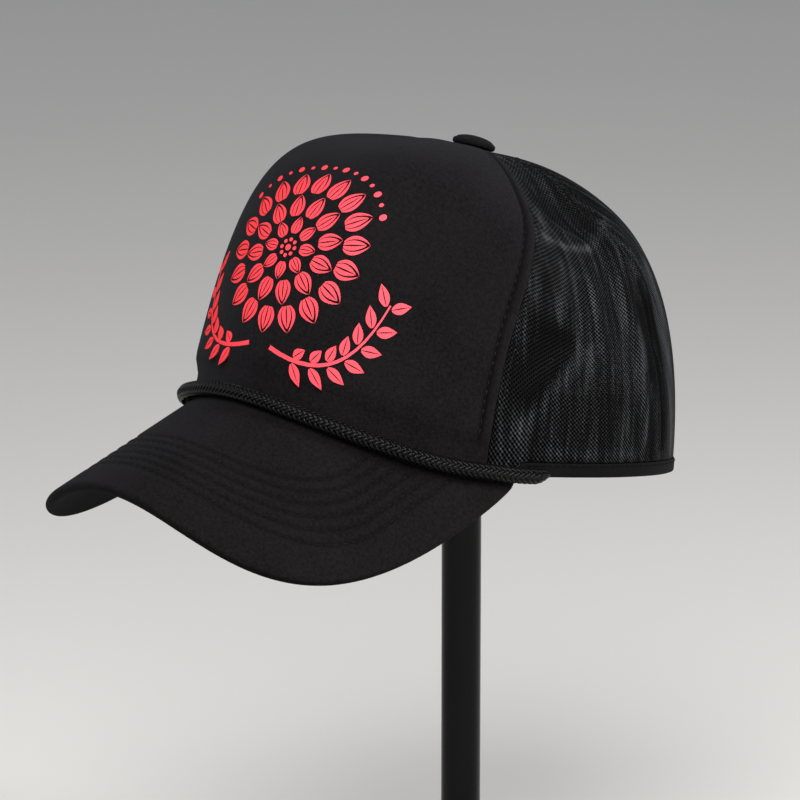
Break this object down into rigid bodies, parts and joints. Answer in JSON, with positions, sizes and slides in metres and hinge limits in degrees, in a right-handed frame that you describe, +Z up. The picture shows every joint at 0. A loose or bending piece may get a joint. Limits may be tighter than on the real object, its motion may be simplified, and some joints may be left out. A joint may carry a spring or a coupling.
{
  "type": "trucker hat on stand",
  "caption": "Black trucker hat with a foam-backed front panel, net sides and back, rolled brim and rope trim, on a plain pole stand.",
  "frame": {"origin": "on the floor at the foot of the stand's pole, at the centre of the base's underside", "axes": "+Z up along the pole, -Y the way the hat's front faces, +X to the wearer's left"},
  "size_m": [0.1723, 0.2502, 0.3213],
  "materials": {
    "cloth": "matt fine-grained cloth",
    "netting": "glossy polyester net",
    "trim": "matt woven tape",
    "braid": "braided cord with a soft sheen",
    "moulded": "satin moulded plastic",
    "lacquer": "glossy black lacquer"
  },
  "bodies": {
    "root": {"front_panel": "cloth", "side_mesh_left": "netting", "side_mesh_right": "netting", "back_mesh_left": "netting", "back_mesh_right": "netting", "rim_binding_left": "trim", "rim_binding_right": "trim", "front_tape_left": "trim", "front_tape_right": "trim", "back_tape_left": "trim", "back_tape_right": "trim", "centre_tape": "trim", "arch_binding": "trim", "sweatband": "trim", "snap_strap": "moulded", "brim": "cloth", "rope": "braid", "top_button": "cloth", "stand_base": "lacquer", "stand_pole": "lacquer", "stand_top": "lacquer"}
  },
  "joints": []
}
